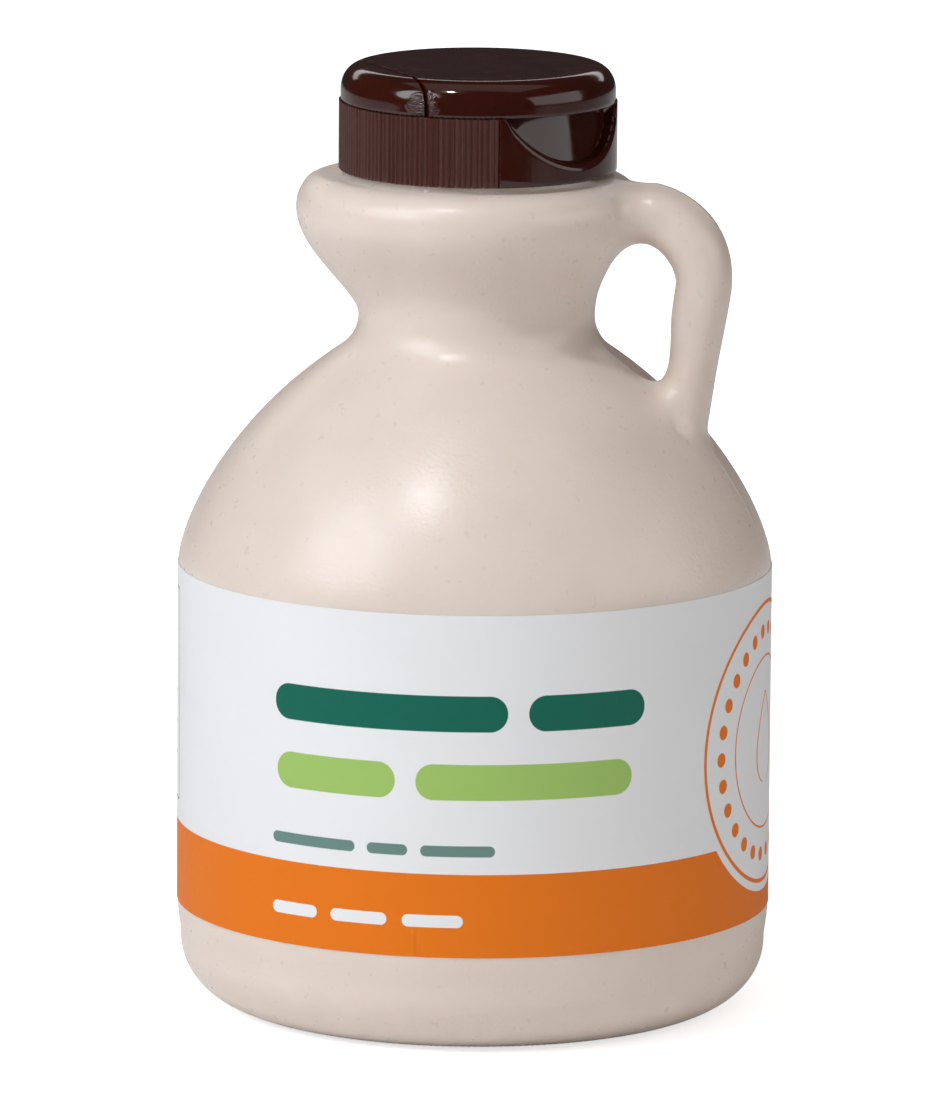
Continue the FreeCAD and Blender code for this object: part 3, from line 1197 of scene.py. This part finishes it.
@dataclass(frozen=True)
class Softbox:
    """A lamp that faces the jug, with its radiance given."""

    name: str
    azimuth: float
    elevation: float
    distance: float
    width: float
    height: float
    radiance: float
    round: bool = False
    colour: Colour = (1.0, 0.99, 0.975)
    mirrored: bool = True
    lights: bool = True

    def hang(self, aim: Vector) -> None:
        """Hangs the lamp and turns it to a point."""
        lamp = bpy.data.lights.new(self.name, "AREA")
        lamp.shape = "ELLIPSE" if self.round else "RECTANGLE"
        lamp.size = self.width
        lamp.size_y = self.height
        lamp.energy = self.radiance * math.pi * self.width * self.height
        lamp.color = self.colour
        holder = bpy.data.objects.new(self.name, lamp)
        bpy.context.scene.collection.objects.link(holder)
        azimuth, elevation = math.radians(self.azimuth), math.radians(self.elevation)
        direction = Vector(
            (
                math.cos(elevation) * math.sin(azimuth),
                -math.cos(elevation) * math.cos(azimuth),
                math.sin(elevation),
            )
        )
        holder.location = aim + direction * self.distance
        holder.rotation_euler = direction.to_track_quat("Z", "Y").to_euler()
        holder.visible_camera = False
        holder.visible_glossy = self.mirrored
        holder.visible_diffuse = self.lights


@dataclass
class Studio:
    """Camera, lamps, pale floor and white surround."""

    aim_height: float = 66.6
    camera_azimuth: float = 11.0
    camera_elevation: float = 10.5
    camera_distance: float = 1721.0
    camera_lens: float = 390.08
    camera_roll: float = 0.409
    ambient: float = 0.22
    gloss_ambient: float = 0.03
    floor_colour: Colour = (0.94, 0.94, 0.94)
    floor_glow: Point2 = (0.66, 0.90)
    floor_reach: Point2 = (0.10, 0.45)
    floor_span: tuple[Point2, Point2] = ((-1.3, 1.3), (-0.45, 1.7))
    lamps: tuple[Softbox, ...] = (
        Softbox("key", -46.0, 32.0, 0.9, 0.56, 0.56, 4.25, True, (0.97, 1.005, 1.04)),
        Softbox("top key", -22.0, 58.0, 1.0, 0.07, 0.07, 165.0, True, (0.97, 1.005, 1.04)),
        Softbox("front fill", 24.0, 14.0, 1.2, 0.9, 0.9, 0.72, False, (1.0, 1.0, 1.0), False),
        Softbox("right card", 88.0, 23.0, 0.6, 0.6, 0.26, 0.80, False, (1.0, 0.91, 0.83), False),
        Softbox("right sheen", 82.0, 18.5, 0.6, 0.54, 0.33, 1.5, False, (1.0, 0.98, 0.98), True, False),
        Softbox("overhead", 0.0, 88.0, 1.0, 1.2, 0.7, 0.45),
        Softbox("back strip", 191.0, 26.0, 1.2, 1.8, 0.16, 1.7),
    )

    def camera(self) -> None:
        """Places the camera."""
        data = bpy.data.cameras.new("camera")
        data.lens = self.camera_lens
        data.sensor_width = 36.0
        data.clip_start = 0.05
        data.clip_end = 50.0
        holder = bpy.data.objects.new("camera", data)
        bpy.context.scene.collection.objects.link(holder)
        azimuth, elevation = math.radians(self.camera_azimuth), math.radians(self.camera_elevation)
        direction = Vector(
            (
                math.cos(elevation) * math.sin(azimuth),
                -math.cos(elevation) * math.cos(azimuth),
                math.sin(elevation),
            )
        )
        aim = Vector((0, 0, self.aim_height * MM))
        holder.location = aim + direction * self.camera_distance * MM
        turn = direction.to_track_quat("Z", "Y").to_matrix().to_4x4()
        turn = turn @ Matrix.Rotation(math.radians(self.camera_roll), 4, "Z")
        holder.rotation_euler = turn.to_euler()
        bpy.context.scene.camera = holder

    def surround(self) -> None:
        """A white world for the camera, plain grey light for the rest."""
        world = bpy.data.worlds.new("surround")
        world.use_nodes = True
        bpy.context.scene.world = world
        tree = world.node_tree
        tree.nodes.clear()
        output = tree.nodes.new("ShaderNodeOutputWorld")
        light = tree.nodes.new("ShaderNodeBackground")
        light.inputs["Color"].default_value = (1.0, 1.0, 1.0, 1.0)
        light.inputs["Strength"].default_value = self.ambient
        seen = tree.nodes.new("ShaderNodeBackground")
        seen.inputs["Strength"].default_value = 1.0
        seen.inputs["Color"].default_value = (1.0, 1.0, 1.0, 1.0)
        path = tree.nodes.new("ShaderNodeLightPath")
        mix = tree.nodes.new("ShaderNodeMixShader")
        dim = tree.nodes.new("ShaderNodeBackground")
        dim.inputs["Color"].default_value = (1.0, 1.0, 1.0, 1.0)
        dim.inputs["Strength"].default_value = self.gloss_ambient
        gloss = tree.nodes.new("ShaderNodeMixShader")
        tree.links.new(path.outputs["Is Glossy Ray"], gloss.inputs[0])
        tree.links.new(light.outputs[0], gloss.inputs[1])
        tree.links.new(dim.outputs[0], gloss.inputs[2])
        tree.links.new(path.outputs["Is Camera Ray"], mix.inputs[0])
        tree.links.new(gloss.outputs[0], mix.inputs[1])
        tree.links.new(seen.outputs[0], mix.inputs[2])
        tree.links.new(mix.outputs[0], output.inputs["Surface"])

    def floor(self) -> None:
        """A pale floor that shows white and keeps the jug's shadow."""
        put_down()
        (left, right), (front, back) = self.floor_span
        bpy.ops.mesh.primitive_plane_add(size=1.0, location=((left + right) / 2, (front + back) / 2, 0))
        bpy.ops.transform.resize(value=(right - left, back - front, 1))
        floor = seat(bpy.context.object, "floor")
        material = bpy.data.materials.new("pale floor")
        material.use_nodes = True
        tree = material.node_tree
        tree.nodes.clear()
        output = tree.nodes.new("ShaderNodeOutputMaterial")
        diffuse = tree.nodes.new("ShaderNodeBsdfDiffuse")
        diffuse.inputs["Color"].default_value = (*self.floor_colour, 1.0)
        glow = tree.nodes.new("ShaderNodeEmission")
        path = tree.nodes.new("ShaderNodeLightPath")
        lift = tree.nodes.new("ShaderNodeMath")
        lift.operation = "MULTIPLY"
        place = tree.nodes.new("ShaderNodeTexCoord")
        away = tree.nodes.new("ShaderNodeVectorMath")
        away.operation = "LENGTH"
        fade = tree.nodes.new("ShaderNodeMapRange")
        for name, number in zip(("From Min", "From Max", "To Min", "To Max"), (*self.floor_reach, *self.floor_glow)):
            fade.inputs[name].default_value = number
        tree.links.new(place.outputs["Object"], away.inputs[0])
        tree.links.new(away.outputs["Value"], fade.inputs["Value"])
        tree.links.new(fade.outputs[0], lift.inputs[1])
        tree.links.new(path.outputs["Is Camera Ray"], lift.inputs[0])
        tree.links.new(lift.outputs[0], glow.inputs["Strength"])
        add = tree.nodes.new("ShaderNodeAddShader")
        tree.links.new(diffuse.outputs[0], add.inputs[0])
        tree.links.new(glow.outputs[0], add.inputs[1])
        tree.links.new(add.outputs[0], output.inputs["Surface"])
        floor.data.materials.append(material)

    def build(self) -> None:
        """Sets up the whole studio."""
        self.camera()
        self.surround()
        self.floor()
        for lamp in self.lamps:
            lamp.hang(Vector((0, 0, self.aim_height * MM)))
        bpy.context.scene.view_settings.view_transform = "Standard"


def main() -> None:
    """Builds the jug, its label and its cap in the studio."""
    logging.basicConfig(level=logging.INFO, format="%(name)s: %(message)s")
    Studio().build()
    pieces = [Jug().build(), WrapLabel().build(), *FlipCap().build()]
    for piece in pieces:
        log.info("%s has %d faces", piece.name, len(piece.data.polygons))


if __name__ == "__main__":
    main()
